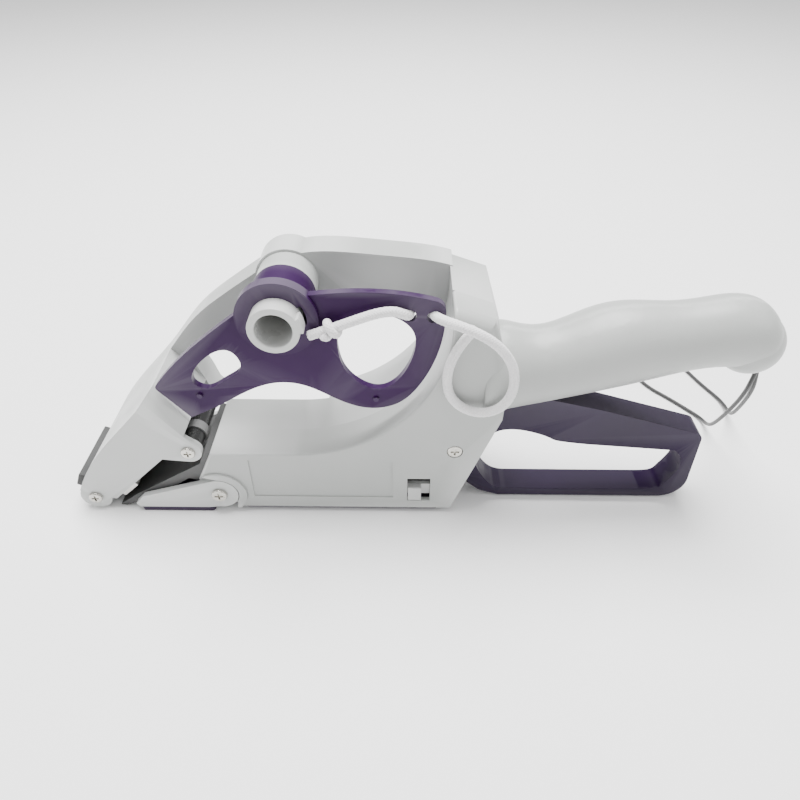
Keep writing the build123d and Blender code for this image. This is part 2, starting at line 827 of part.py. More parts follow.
def guide_outline():
    """Crescent guide plate: a tall rear lobe and a long front horn, both ending at the guide's radius."""
    with BuildSketch() as sk:
        with BuildLine():
            Spline(
                (-12, 104),
                (8, 109.2),
                (30, 111.2),
                (50, 109.6),
                (58.5, 107.6),
                tangents=[(0.9, 0.42), (0.96, -0.28)],
            )
            RadiusArc((58.5, 107.6), (61.9, 103.2), 5.0)
            Spline(
                (61.9, 103.2),
                (60.2, 87.5),
                (53.0, 69.5),
                (44.0, 59.5),
                (34.0, 56.9),
                (21.5, 60.6),
                (7.0, 68.6),
                (-5.0, 69.5),
                (-21.0, 62.2),
                (-41.0, 51.0),
                tangents=[(0.0, -1.0), (-0.9, -0.45)],
            )
            Line((-41.0, 51.0), (-53.0, 66.5))
            Spline((-53.0, 66.5), (-36.0, 84.8), (-12, 104), tangents=[(0.6, 0.8), (0.8, 0.6)])
        make_face()
        fillet(sk.vertices().group_by(Axis.X)[0], 2.0)
    return sk.sketch


guide_face = guide_outline()
with BuildSketch() as small_window:
    with BuildLine():
        Spline((-36.8, 69.5), (-31.5, 80.2), (-19.5, 84.6), (-16.6, 78.0), (-24.5, 70.2), (-33.6, 66.6), periodic=True)
    make_face()
with BuildSketch() as large_window:
    with BuildLine():
        Spline((21.4, 88.5), (26.0, 98.6), (38.5, 102.0), (49.5, 95.5), (49.8, 82.5), (36.0, 67.0), (26.5, 72.5), periodic=True)
    make_face()

with BuildPart() as roll_guide:
    with BuildSketch(side(plate_far_y)):
        add(guide_face)
        with Locations((0, spindle_z)):
            Circle(hub_r)
        add(small_window.sketch, mode=Mode.SUBTRACT)
        add(large_window.sketch, mode=Mode.SUBTRACT)
        with Locations(*rope_holes):
            Circle(rope_hole_r, mode=Mode.SUBTRACT)
    extrude(amount=guide_thick)
    rims = near_side_edges(roll_guide, plate_near_y)
    with BuildSketch(side(plate_near_y)):
        with Locations((0, spindle_z)):
            Circle(hub_r)
    extrude(amount=plate_near_y - hub_near_y)
    with BuildSketch(side(sleeve_far_y)):
        with Locations((0, spindle_z)):
            Circle(sleeve_r)
    extrude(amount=sleeve_far_y - plate_far_y)
    add(disc(0, spindle_z, tube_r + run_fit, sleeve_far_y, hub_near_y), mode=Mode.SUBTRACT)
    with BuildSketch(side(sleeve_far_y)):
        with BuildLine():
            Polyline((0, spindle_z), (lug_r + 4, spindle_z - 2.2), (lug_r + 4, spindle_z + 10), close=True)
        make_face()
        with Locations((0, spindle_z)):
            Circle(lug_r + gap, mode=Mode.INTERSECT)
    extrude(amount=sleeve_far_y - hub_near_y, mode=Mode.SUBTRACT)
    for x, z in [(35.5, 62.0), (-35.2, 63.0)]:
        add(disc(x, z, 1.1, plate_near_y, plate_near_y - 0.9))
save(roll_guide, "roll_guide")


# ---- Trigger ----


finger_front_x = 78.2
finger_mid_z = 25.0
finger_floor_z = trigger_foot_z + trigger_band


def trigger_outline():
    """Closed loop for the fingers, with a lever that runs past the pivot to the drive pin."""
    with BuildSketch() as sk:
        with BuildLine():
            Polyline(
                (71.5, 59.5),
                (98, 60.5),
                (130, 52.6),
                (174.2, 39.4),
                (trigger_end_x, trigger_foot_z),
                (90, trigger_foot_z),
                (81, 4.2),
                (75.5, 9.0),
                (72.0, 14.0),
                (drive_pin_x + 1, drive_pin_z - 4.9),
                (drive_pin_x + 0.5, drive_pin_z + 4.9),
                (drive_pin_x + 6, drive_pin_z + 7),
                (72.5, 36.0),
                (70.5, 52.0),
                close=True,
            )
        make_face()
        fillet(sk.vertices().filter_by(lambda v: v.X > 160 and v.Y > 20), 4.0)
        fillet(sk.vertices().filter_by(lambda v: v.X > 160 and v.Y < 5), 11.0)
        fillet(sk.vertices().filter_by(lambda v: 78 < v.X < 95 and v.Y < 12), 2.4)
        with Locations((drive_pin_x, drive_pin_z)):
            Circle(5.0)
        with BuildLine():
            Spline(
                (finger_front_x, finger_mid_z),
                (80.6, 34.0),
                (86.0, 40.2),
                (93.0, 41.8),
                (109.0, 37.2),
                (126.0, 33.4),
                tangents=[(0.0, 1.0), (1.0, -0.12)],
            )
            Line((126.0, 33.4), (164.5, 30.2))
            Spline(
                (164.5, 30.2),
                (169.0, 19.0),
                (165.0, 9.6),
                (154.0, finger_floor_z),
                tangents=[(0.8, -0.6), (-1.0, 0.0)],
            )
            Line((154.0, finger_floor_z), (94.0, finger_floor_z))
            Spline(
                (94.0, finger_floor_z),
                (82.5, 12.5),
                (finger_front_x, finger_mid_z),
                tangents=[(-1.0, 0.0), (0.0, 1.0)],
            )
        make_face(mode=Mode.SUBTRACT)
    return sk


trigger_sketch = trigger_outline()
with BuildPart() as trigger:
    with BuildSketch(side(trigger_far_y)):
        add(trigger_sketch.sketch)
    extrude(amount=trigger_width)
    add(disc(trigger_x, trigger_z, pin_r + run_fit, 5, -25), mode=Mode.SUBTRACT)
    add(disc(drive_pin_x, drive_pin_z, drive_pin_r, 5, -25), mode=Mode.SUBTRACT)
save(trigger, "trigger")

with BuildPart() as trigger_pin:
    add(disc(trigger_x, trigger_z, pin_r, inner_far_y, inner_near_y))
save(trigger_pin, "trigger_pin")

slide_far_y = slide_y + slide_thick / 2
slide_near_y = slide_y - slide_thick / 2
with BuildPart() as drive_pin:
    add(disc(drive_pin_x, drive_pin_z, drive_pin_r, slide_far_y + 0.6, trigger_near_y))
save(drive_pin, "drive_pin")

spring_x = 112.0
spring_r = 4.2
spring_wire = 0.5
spring_low_z = 58.0
spring_high_z = 91.0
spring_turns = 7
with BuildPart() as trigger_spring:
    with BuildLine() as coil:
        Helix(pitch=(spring_high_z - spring_low_z - 2) / spring_turns, height=spring_high_z - spring_low_z - 2,
              radius=spring_r, center=(spring_x, parting_y, spring_low_z + 1))
    with BuildSketch(Plane(origin=coil.line @ 0, z_dir=coil.line % 0)):
        Circle(spring_wire)
    sweep(is_frenet=True)
save(trigger_spring, "trigger_spring")


# ---- Feed drive ----

pin_reach_x = drive_pin_x - trigger_x
pin_reach_z = drive_pin_z - trigger_z
swing = radians(trigger_swing)
pin_travel_x = pin_reach_x * cos(swing) - pin_reach_z * sin(swing) - pin_reach_x
pin_drop_z = pin_reach_z * cos(swing) + pin_reach_x * sin(swing) - pin_reach_z
slide_ratio = pin_travel_x / swing
print("slide travel", round(pin_travel_x, 3), "drop", round(pin_drop_z, 3), "ratio mm/rad", round(slide_ratio, 3))

bar_low_z = 15.5
bar_high_z = 22.5
bar_front_x = 0.0
with BuildPart() as feed_slide:
    with BuildSketch(side(slide_far_y)):
        with BuildLine():
            Polyline(
                (bar_front_x, bar_low_z),
                (drive_pin_x - 6, bar_low_z),
                (drive_pin_x - 4.2, drive_pin_z - 11.5),
                (drive_pin_x + 4.2, drive_pin_z - 11.5),
                (drive_pin_x + 4.2, drive_pin_z + 5),
                (drive_pin_x - 4.2, drive_pin_z + 5),
                (drive_pin_x - 6, bar_high_z),
                (6, bar_high_z),
                (4, 27.0),
                (bar_front_x, 27.0),
                close=True,
            )
        make_face()
        slot_mid_z = drive_pin_z + pin_drop_z / 2
        with Locations((drive_pin_x, slot_mid_z)):
            SlotOverall(abs(pin_drop_z) + 2 * (drive_pin_r + 0.5), 2 * (drive_pin_r + 0.35), rotation=90,
                        mode=Mode.SUBTRACT)
    extrude(amount=slide_thick)
    add(disc(bar_front_x + 2.2, 24.6, 1.0, slide_far_y, slide_near_y), mode=Mode.SUBTRACT)
save(feed_slide, "feed_slide")

guide_start_x = 16.0
with BuildPart() as slide_guide:
    with BuildSketch(Plane.YZ.offset(guide_start_x)):
        with BuildLine():
            Polyline(
                (inner_far_y, bar_low_z - gap - 2),
                (slide_near_y + 1, bar_low_z - gap - 2),
                (slide_near_y + 1, bar_low_z - gap),
                (slide_far_y + gap, bar_low_z - gap),
                (slide_far_y + gap, bar_high_z + gap),
                (slide_near_y + 1, bar_high_z + gap),
                (slide_near_y + 1, bar_high_z + gap + 2),
                (inner_far_y, bar_high_z + gap + 2),
                close=True,
            )
        make_face()
    extrude(amount=30)
save(slide_guide, "slide_guide")

pawl_pin_x = bar_front_x + 2.2
pawl_pin_z = 24.6
with BuildPart() as feed_pawl:
    with BuildSketch(side(slide_near_y - 0.2)):
        with Locations((pawl_pin_x, pawl_pin_z + 1.6)):
            Circle(2.6)
        with BuildLine():
            Polyline(
                (pawl_pin_x, pawl_pin_z + 4.2),
                (pawl_pin_x - 12, pawl_pin_z + 3.6),
                (pawl_pin_x - 17.5, pawl_pin_z + 1.4),
                (pawl_pin_x - 12, pawl_pin_z + 1.8),
                (pawl_pin_x, pawl_pin_z - 1.0),
                close=True,
            )
        make_face()
    extrude(amount=2.4)
    add(disc(pawl_pin_x, pawl_pin_z, 1.0 + run_fit, 5, -8), mode=Mode.SUBTRACT)
save(feed_pawl, "feed_pawl")
with BuildPart() as pawl_pin:
    add(disc(pawl_pin_x, pawl_pin_z, 1.0, slide_far_y, slide_near_y - 3.0))
save(pawl_pin, "pawl_pin")

with BuildPart() as drive_shaft:
    add(disc(shaft_x, shaft_z, shaft_r, inner_far_y - 0.3, inner_near_y + 0.3))
save(drive_shaft, "drive_shaft")

bush_long = 2.6
bushes = []
for sign in (-1, 1):
    low, high = sorted([sign * inner_far_y, sign * (inner_far_y - bush_long)])
    with BuildPart() as bush:
        add(disc(shaft_x, shaft_z, shaft_bush_r, high, low))
        add(disc(shaft_x, shaft_z, shaft_r + run_fit, high, low), mode=Mode.SUBTRACT)
    bushes.append(bush.part.solids()[0])
shaft_bushes = Compound(children=bushes)
shaft_bushes.label = "shaft_bushes"
export_step(shaft_bushes, "parts/shaft_bushes.step")

with BuildPart() as drive_roller:
    for y_far, y_near in [(slide_near_y - 4.0, -17.5), (15.0, slide_far_y + 0.8)]:
        with BuildSketch(side(y_far)):
            with Locations((shaft_x, shaft_z)):
                Circle(drive_roller_r)
                Circle(shaft_r, mode=Mode.SUBTRACT)
        extrude(amount=y_far - y_near)
    fillet(drive_roller.edges().filter_by(GeomType.CIRCLE).group_by(SortBy.RADIUS)[-1], 0.8)
save(drive_roller, "drive_roller")

with BuildPart() as ratchet_wheel:
    with BuildSketch(side(slide_near_y - 0.4)):
        with Locations((shaft_x, shaft_z)):
            Circle(ratchet_r - 1.3)
            with PolarLocations(ratchet_r - 1.4, ratchet_teeth):
                Triangle(a=2.6, b=2.4, C=62)
            Circle(shaft_r, mode=Mode.SUBTRACT)
    extrude(amount=2.6)
save(ratchet_wheel, "ratchet_wheel")

press_x = shaft_x - drive_roller_r - press_roller_r - 0.35
press_roller = roller_between(press_x, shaft_z, 17.0, -17.5, press_roller_r, 1.5 + run_fit)
save(press_roller, "press_roller")
with BuildPart() as press_axle:
    add(disc(press_x, shaft_z, 1.5, inner_far_y - 3.3, -(inner_far_y - 3.3)))
save(press_axle, "press_axle")

with BuildPart() as latch_tab:
    with BuildSketch(side(near_y - 0.5 + 5.0)):
        with Locations((window[0][0] + 3.2, window[0][1] + 4.2)):
            Rectangle(5.8, 7.4)
    extrude(amount=5.0)
    with BuildSketch(side(inner_near_y + 2.4)):
        with Locations((window[0][0] + 3.2, window[0][1] + 5.0)):
            Rectangle(13.5, 6.0)
    extrude(amount=2.0)
    outer_edges = near_side_edges(latch_tab, near_y - 0.5)
    fillet(outer_edges, 0.6)
save(latch_tab, "latch_tab")

case_screw_near = cross_screw(near_screw[0], near_screw[1], near_y + 1.2, -1, 3.2, 1.3, screw_hole_r, 22.0)
case_screw_near.label = "case_screw_near"
export_step(case_screw_near, "parts/case_screw_near.step")
far_screws = Compound(
    children=[
        cross_screw(x, z, seat_y, 1, 2.4, 1.2, screw_hole_r, seat_y - parting_y + 7)
        for x, z in screw_posts
        for seat_y in [far_screw_y if x < handle_start_x else grip_screw_y]
    ]
)
far_screws.label = "case_screws_far"
export_step(far_screws, "parts/case_screws_far.step")


# ---- Cords ----


def cord_radii(points):
    """Largest tangent arc at each corner of a route."""
    radii = []
    for before, here, after in zip(points, points[1:], points[2:]):
        run_in = Vector(*here) - Vector(*before)
        run_out = Vector(*after) - Vector(*here)
        turn = run_in.get_angle(run_out)
        radii.append(0.45 * min(run_in.length, run_out.length) / tan(radians(turn / 2)))
    return radii


def cord_tube(points, radius):
    """Tube along straight runs joined by tangent arcs."""
    radii = cord_radii(points)
    with BuildPart() as tube:
        with BuildLine() as route:
            FilletPolyline(*points, radius=radii)
        with BuildSketch(Plane(origin=route.line @ 0, z_dir=route.line % 0)):
            Circle(radius)
        sweep()
    length = sum(edge.length for edge in route.edges())
    share = tube.part.volume / (pi * radius ** 2 * length)
    print("cord length", round(length, 1), "volume share", round(share, 4), "radii", [round(r, 1) for r in radii])
    return tube


tail_route = [
    (11.9, -22.2, 95.2),
    (17.5, -22.6, 97.6),
    (24.2, -22.6, 100.2),
    (31.0, -22.2, 102.8),
    (37.4, -21.6, 104.8),
    (43.0, -20.9, 105.2),
    (46.8, -20.4, 103.4),
    (48.4, -18.6, 101.8),
    (48.6, -15.6, 101.4),
]
rope_tail = cord_tube(tail_route, rope_r)
save(rope_tail, "rope_tail")

loop_route = [
    (57.4, -15.2, 100.8),
    (58.2, -19.6, 101.9),
    (61.0, -24.0, 103.2),
    (65.6, -27.8, 103.8),
    (71.6, -30.2, 102.6),
    (77.8, -30.8, 99.2),
    (83.2, -30.4, 93.4),
    (86.9, -29.4, 85.8),
    (87.9, -29.0, 77.4),
    (86.3, -28.9, 70.0),
    (81.7, -28.7, 64.9),
    (75.3, -27.8, 63.0),
    (68.9, -26.8, 64.9),
    (64.3, -26.2, 69.9),
    (62.7, -26.2, 76.8),
    (63.2, -26.2, 84.0),
    (65.4, -26.2, 91.0),
    (68.6, -26.1, 96.8),
    (71.8, -26.0, 101.2),
]
rope_loop = cord_tube(loop_route, rope_r)
save(rope_loop, "rope_loop")

strap_route = [
    (strap_x, parting_y - 1.5, 76.5),
    (strap_x + 0.1, parting_y - 1.2, 66.0),
    (190.6, -4.0, 53.0),
    (193.4, 6.0, 35.0),
    (197.6, 19.0, 16.0),
    (202.0, 31.0, 4.4),
    (202.6, 40.0, 1.2),
    (197.0, 48.0, 1.0),
    (190.0, 57.0, 1.0),
    (182.0, 66.0, 1.0),
    (177.0, 80.0, 1.0),
    (179.0, 95.0, 1.0),
    (190.0, 103.0, 1.0),
    (202.0, 98.0, 1.0),
    (208.0, 84.0, 1.0),
    (213.0, 68.0, 1.0),
    (219.0, 54.0, 1.1),
    (217.0, 40.0, 4.2),
    (209.6, 26.0, 17.0),
    (202.0, 11.0, 36.0),
    (195.6, -1.0, 54.0),
    (191.4, -5.6, 66.0),
    (strap_x + 0.4, parting_y + 1.4, 76.5),
]
strap_cord = cord_tube(strap_route, strap_r)
save(strap_cord, "strap_cord")
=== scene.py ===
import math

import bpy
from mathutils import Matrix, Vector


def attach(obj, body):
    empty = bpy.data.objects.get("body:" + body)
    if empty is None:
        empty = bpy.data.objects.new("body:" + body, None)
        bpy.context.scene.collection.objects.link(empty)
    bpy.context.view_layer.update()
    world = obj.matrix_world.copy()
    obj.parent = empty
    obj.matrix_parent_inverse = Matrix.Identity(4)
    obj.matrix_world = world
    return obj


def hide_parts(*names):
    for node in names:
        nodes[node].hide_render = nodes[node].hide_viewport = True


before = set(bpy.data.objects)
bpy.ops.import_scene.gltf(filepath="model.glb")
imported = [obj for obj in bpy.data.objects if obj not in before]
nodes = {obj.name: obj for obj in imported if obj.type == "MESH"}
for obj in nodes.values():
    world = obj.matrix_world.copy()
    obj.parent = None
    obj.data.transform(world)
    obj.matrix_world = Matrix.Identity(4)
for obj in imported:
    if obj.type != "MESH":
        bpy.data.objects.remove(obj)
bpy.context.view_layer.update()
print("frame loaded:", len(nodes), "nodes")

# camera

cameraSettings = {
    "place": (0.0475, -0.2174, 0.2307),
    "tilt": 52.0,
    "turn": 0.7,
    "lens": 29.25,
    "sensor": 36.0,
    "shiftY": -0.03375,
    "nearest": 0.01,
}


def makeCamera(settings):
    data = bpy.data.cameras.new("viewCamera")
    data.lens = settings["lens"]
    data.sensor_width = settings["sensor"]
    data.shift_y = settings["shiftY"]
    data.clip_start = settings["nearest"]
    camera = bpy.data.objects.new("viewCamera", data)
    camera.location = settings["place"]
    camera.rotation_euler = (math.radians(settings["tilt"]), 0.0, math.radians(settings["turn"]))
    bpy.context.collection.objects.link(camera)
    bpy.context.scene.camera = camera


makeCamera(cameraSettings)
print("camera set")

# cord routes, from each exit to the far end

ropeTailRoute = [
    (0.0486, -0.0156, 0.1014),
    (0.0484, -0.0186, 0.1018),
    (0.0468, -0.0204, 0.1034),
    (0.043, -0.0209, 0.1052),
    (0.0374, -0.0216, 0.1048),
    (0.031, -0.0222, 0.1028),
    (0.0242, -0.0226, 0.1002),
    (0.0175, -0.0226, 0.0976),
    (0.0119, -0.0222, 0.0952),
]

ropeLoopRoute = [
    (0.0574, -0.0152, 0.1008),
    (0.0582, -0.0196, 0.1019),
    (0.061, -0.024, 0.1032),
    (0.0656, -0.0278, 0.1038),
    (0.0716, -0.0302, 0.1026),
    (0.0778, -0.0308, 0.0992),
    (0.0832, -0.0304, 0.0934),
    (0.0869, -0.0294, 0.0858),
    (0.0879, -0.029, 0.0774),
    (0.0863, -0.0289, 0.07),
    (0.0817, -0.0287, 0.0649),
    (0.0753, -0.0278, 0.063),
    (0.0689, -0.0268, 0.0649),
    (0.0643, -0.0262, 0.0699),
    (0.0627, -0.0262, 0.0768),
    (0.0632, -0.0262, 0.084),
    (0.0654, -0.0262, 0.091),
    (0.0686, -0.0261, 0.0968),
    (0.0718, -0.026, 0.1012),
]

strapRoute = [
    (0.188, -0.0095, 0.0765),
    (0.1881, -0.0092, 0.066),
    (0.1906, -0.004, 0.053),
    (0.1934, 0.006, 0.035),
    (0.1976, 0.019, 0.016),
    (0.202, 0.031, 0.0044),
    (0.2026, 0.04, 0.0012),
    (0.197, 0.048, 0.001),
    (0.19, 0.057, 0.001),
    (0.182, 0.066, 0.001),
    (0.177, 0.08, 0.001),
    (0.179, 0.095, 0.001),
    (0.19, 0.103, 0.001),
    (0.202, 0.098, 0.001),
    (0.208, 0.084, 0.001),
    (0.213, 0.068, 0.001),
    (0.219, 0.054, 0.0011),
    (0.217, 0.04, 0.0042),
    (0.2096, 0.026, 0.017),
    (0.202, 0.011, 0.036),
    (0.1956, -0.001, 0.054),
    (0.1914, -0.0056, 0.066),
    (0.1884, -0.0066, 0.0765),
]

curveSteps = 16  # points on each rounded corner of a route

ropeSettings = {
    "radius": 0.0020,
    "strands": 8,  # each way round
    "turnLength": 0.0082,
    "stepLength": 0.0004,
    "weave": 0.07,
    "strandWide": 0.27,
    "strandThick": 0.26,
    "sides": 6,
    "coreSides": 14,
}
strapSettings = {"radius": 0.0009, "stepLength": 0.001, "sides": 12}


def smoothPath(points, spacing):
    # a quadratic spline that touches the middle of every run
    knots = [Vector(p) for p in points]
    middles = [(a + b) / 2 for a, b in zip(knots, knots[1:])]
    dense = [knots[0]]
    for start, corner, end in zip(middles, knots[1:-1], middles[1:]):
        for step in range(curveSteps):
            t = step / curveSteps
            dense.append(start * (1 - t) ** 2 + corner * 2 * t * (1 - t) + end * t * t)
    dense += [middles[-1], knots[-1]]
    total = sum((b - a).length for a, b in zip(dense, dense[1:]))
    count = max(8, round(total / spacing))
    path = [dense[0]]
    gone = 0.0
    index = 0
    for step in range(1, count):
        target = total * step / count
        while gone + (dense[index + 1] - dense[index]).length < target:
            gone += (dense[index + 1] - dense[index]).length
            index += 1
        run = dense[index + 1] - dense[index]
        path.append(dense[index] + run * ((target - gone) / run.length))
    path.append(dense[-1])
    return path, total


def framesAlong(path):
    # tangent and a side direction that doesn't twist
    tangents = []
    for index in range(len(path)):
        ahead = path[min(index + 1, len(path) - 1)]
        behind = path[max(index - 1, 0)]
        tangents.append((ahead - behind).normalized())
    side = tangents[0].orthogonal().normalized()
    frames = []
    for tangent in tangents:
        side = (side - tangent * side.dot(tangent)).normalized()
        frames.append((tangent, side, tangent.cross(side)))
    return frames


def meshObject(name, verts, faces):
    mesh = bpy.data.meshes.new(name)
    mesh.from_pydata([tuple(v) for v in verts], [], faces)
    mesh.validate()
    mesh.update()
    for polygon in mesh.polygons:
        polygon.use_smooth = True
    piece = bpy.data.objects.new(name, mesh)
    bpy.context.collection.objects.link(piece)
    return piece


def addTube(verts, faces, centres, sides, wides, halfWide, halfThick, count):
    # an oval section carried along its centres, closed at both ends
    first = len(verts)
    for centre, outward, across in zip(centres, sides, wides):
        for corner in range(count):
            angle = 2 * math.pi * corner / count
            aside = across * (halfWide * math.cos(angle))
            out = outward * (halfThick * math.sin(angle))
            verts.append(centre + aside + out)
    rings = len(centres)
    for ring in range(rings - 1):
        for corner in range(count):
            nextCorner = (corner + 1) % count
            a = first + ring * count
            b = a + count
            faces.append((a + corner, a + nextCorner, b + nextCorner, b + corner))
    faces.append(tuple(first + corner for corner in reversed(range(count))))
    last = first + (rings - 1) * count
    faces.append(tuple(last + corner for corner in range(count)))


def braidedRope(name, route, settings):
    path, length = smoothPath(route, settings["stepLength"])
    frames = framesAlong(path)
    radius = settings["radius"]
    halfWide = radius * settings["strandWide"]
    halfThick = radius * settings["strandThick"]
    weave = radius * settings["weave"]
    layRadius = radius - halfThick - weave
    verts = []
    faces = []
    stepLength = length / (len(path) - 1)
    for direction in (1, -1):
        for strand in range(settings["strands"]):
            centres = []
            outwards = []
            acrosses = []
            for index, (tangent, side, up) in enumerate(frames):
                travel = 2 * math.pi * index * stepLength / settings["turnLength"]
                angle = 2 * math.pi * strand / settings["strands"] + direction * travel
                outward = side * math.cos(angle) + up * math.sin(angle)
                around = up * math.cos(angle) - side * math.sin(angle)
                lift = direction * weave * math.cos(settings["strands"] * travel)
                slope = 2 * math.pi * layRadius / settings["turnLength"]
                along = (tangent + around * (direction * slope)).normalized()
                centres.append(path[index] + outward * (layRadius + lift))
                outwards.append(outward)
                acrosses.append(along.cross(outward).normalized())
            addTube(verts, faces, centres, outwards, acrosses, halfWide, halfThick, settings["sides"])
    sides = [f[1] for f in frames]
    ups = [f[2] for f in frames]
    # the core that closes the gaps between strands
    addTube(verts, faces, path, sides, ups, layRadius, layRadius, settings["coreSides"])
    return meshObject(name, verts, faces), path, length


ropeTail, ropeTailPath, ropeTailLength = braidedRope("ropeTailBraid", ropeTailRoute, ropeSettings)
ropeLoop, ropeLoopPath, ropeLoopLength = braidedRope("ropeLoopBraid", ropeLoopRoute, ropeSettings)

knotSettings = {
    "at": 0.80,  # share of the way along the tail
    "radius": 0.0026,
    "turns": 1.35,
    "startAngle": -0.6,
    "spread": 0.0052,
    "points": 16,
    "ropeRadius": 0.0017,
}


def ropeKnot(path, settings, rope):
    # the knot's wrap round the tail
    centre = round(len(path) * settings["at"])
    frames = framesAlong(path)
    tangent, side, up = frames[centre]
    route = []
    for index in range(settings["points"]):
        t = index / (settings["points"] - 1)
        angle = 2 * math.pi * settings["turns"] * t + settings["startAngle"]
        offset = (t - 0.5) * settings["spread"]
        around = side * math.cos(angle) + up * math.sin(angle)
        route.append(path[centre] + tangent * offset + around * settings["radius"])
    return braidedRope("ropeKnot", route, {**rope, "radius": settings["ropeRadius"]})[0]


knot = ropeKnot(ropeTailPath, knotSettings, ropeSettings)


def roundCord(name, route, settings):
    path, length = smoothPath(route, settings["stepLength"])
    frames = framesAlong(path)
    verts = []
    faces = []
    sides = [f[1] for f in frames]
    ups = [f[2] for f in frames]
    addTube(verts, faces, path, sides, ups, settings["radius"], settings["radius"], settings["sides"])
    return meshObject(name, verts, faces), path, length


strap, strapPath, strapLength = roundCord("handStrap", strapRoute, strapSettings)

for piece, body, node in [
    (ropeTail, "roll_guide", "rope_tail"),
    (ropeLoop, "roll_guide", "rope_loop"),
    (strap, "casing", "strap_cord"),
]:
    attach(piece, body)
    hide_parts(node)
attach(knot, "roll_guide")

print("cords laid:", round(ropeTailLength, 4), round(ropeLoopLength, 4), round(strapLength, 4))

# shared surface effects


def newGroup(name, inputs, outputs):
    group = bpy.data.node_groups.new(name, "ShaderNodeTree")
    for label, kind, value in inputs:
        socket = group.interface.new_socket(name=label, in_out="INPUT", socket_type=kind)
        socket.default_value = value
    for label, kind in outputs:
        group.interface.new_socket(name=label, in_out="OUTPUT", socket_type=kind)
    entry = group.nodes.new("NodeGroupInput")
    leave = group.nodes.new("NodeGroupOutput")
    return group, entry, leave


def addNode(tree, kind, values=None, **settings):
    node = tree.nodes.new(kind)
    for key, value in settings.items():
        setattr(node, key, value)
    for key, value in (values or {}).items():
        node.inputs[key].default_value = value
    return node


def makeSkinGroup():
    # broad tone drift, fine moulded grain, slightly uneven gloss and a painted highlight that lightens
    # convex edges towards white
    group, entry, leave = newGroup(
        "mouldedSkin",
        [
            ("Colour", "NodeSocketColor", (0.8, 0.8, 0.8, 1)),
            ("Drift Colour", "NodeSocketColor", (0.7, 0.7, 0.7, 1)),
            ("Grain Scale", "NodeSocketFloat", 2600.0),
            ("Grain", "NodeSocketFloat", 0.05),
            ("Gloss Low", "NodeSocketFloat", 0.3),
            ("Gloss High", "NodeSocketFloat", 0.45),
            ("Edge Highlight", "NodeSocketFloat", 0.15),
        ],
        [("Colour", "NodeSocketColor"), ("Roughness", "NodeSocketFloat"), ("Normal", "NodeSocketVector")],
    )
    link = group.links.new
    place = addNode(group, "ShaderNodeTexCoord")
    drift = addNode(group, "ShaderNodeTexNoise", {"Scale": 22.0, "Detail": 3.0})
    grain = addNode(group, "ShaderNodeTexNoise", {"Detail": 2.0})
    smear = addNode(group, "ShaderNodeTexNoise", {"Scale": 140.0, "Detail": 4.0, "Roughness": 0.6})
    driftRange = addNode(group, "ShaderNodeMapRange", {"From Min": 0.35, "From Max": 0.7})
    tone = addNode(group, "ShaderNodeMix", data_type="RGBA")
    gloss = addNode(group, "ShaderNodeMapRange", {"From Min": 0.3, "From Max": 0.7})
    shape = addNode(group, "ShaderNodeNewGeometry")
    # painted highlight: convex edges found by Pointiness are mixed towards white
    edge = addNode(group, "ShaderNodeMapRange", {"From Min": 0.52, "From Max": 0.6})
    lift = addNode(group, "ShaderNodeMath", operation="MULTIPLY")
    edgeMix = addNode(group, "ShaderNodeMix", {7: (1, 1, 1, 1)}, data_type="RGBA")
    bump = addNode(group, "ShaderNodeBump", {"Distance": 0.00005})
    for texture in (drift, grain, smear):
        link(place.outputs["Object"], texture.inputs["Vector"])
    link(entry.outputs["Grain Scale"], grain.inputs["Scale"])
    link(drift.outputs["Fac"], driftRange.inputs["Value"])
    link(driftRange.outputs["Result"], tone.inputs["Factor"])
    link(entry.outputs["Colour"], tone.inputs[6])
    link(entry.outputs["Drift Colour"], tone.inputs[7])
    link(smear.outputs["Fac"], gloss.inputs["Value"])
    link(entry.outputs["Gloss Low"], gloss.inputs["To Min"])
    link(entry.outputs["Gloss High"], gloss.inputs["To Max"])
    link(shape.outputs["Pointiness"], edge.inputs["Value"])
    link(edge.outputs["Result"], lift.inputs[0])
    link(entry.outputs["Edge Highlight"], lift.inputs[1])
    link(lift.outputs[0], edgeMix.inputs["Factor"])
    link(tone.outputs[2], edgeMix.inputs[6])
    link(grain.outputs["Fac"], bump.inputs["Height"])
    link(entry.outputs["Grain"], bump.inputs["Strength"])
    link(edgeMix.outputs[2], leave.inputs["Colour"])
    link(gloss.outputs["Result"], leave.inputs["Roughness"])
    link(bump.outputs["Normal"], leave.inputs["Normal"])
    return group


skinGroup = makeSkinGroup()


def skinMaterial(name, settings):
    material = bpy.data.materials.new(name)
    material.use_nodes = True
    tree = material.node_tree
    shader = tree.nodes["Principled BSDF"]
    skin = tree.nodes.new("ShaderNodeGroup")
    skin.node_tree = skinGroup
    for label, value in settings["skin"].items():
        skin.inputs[label].default_value = value
    for label, value in settings.get("shader", {}).items():
        shader.inputs[label].default_value = value
    tree.links.new(skin.outputs["Colour"], shader.inputs["Base Color"])
    tree.links.new(skin.outputs["Roughness"], shader.inputs["Roughness"])
    tree.links.new(skin.outputs["Normal"], shader.inputs["Normal"])
    return material


def grey(value, warmth=0.0):
    return (value + warmth, value, value - warmth, 1)
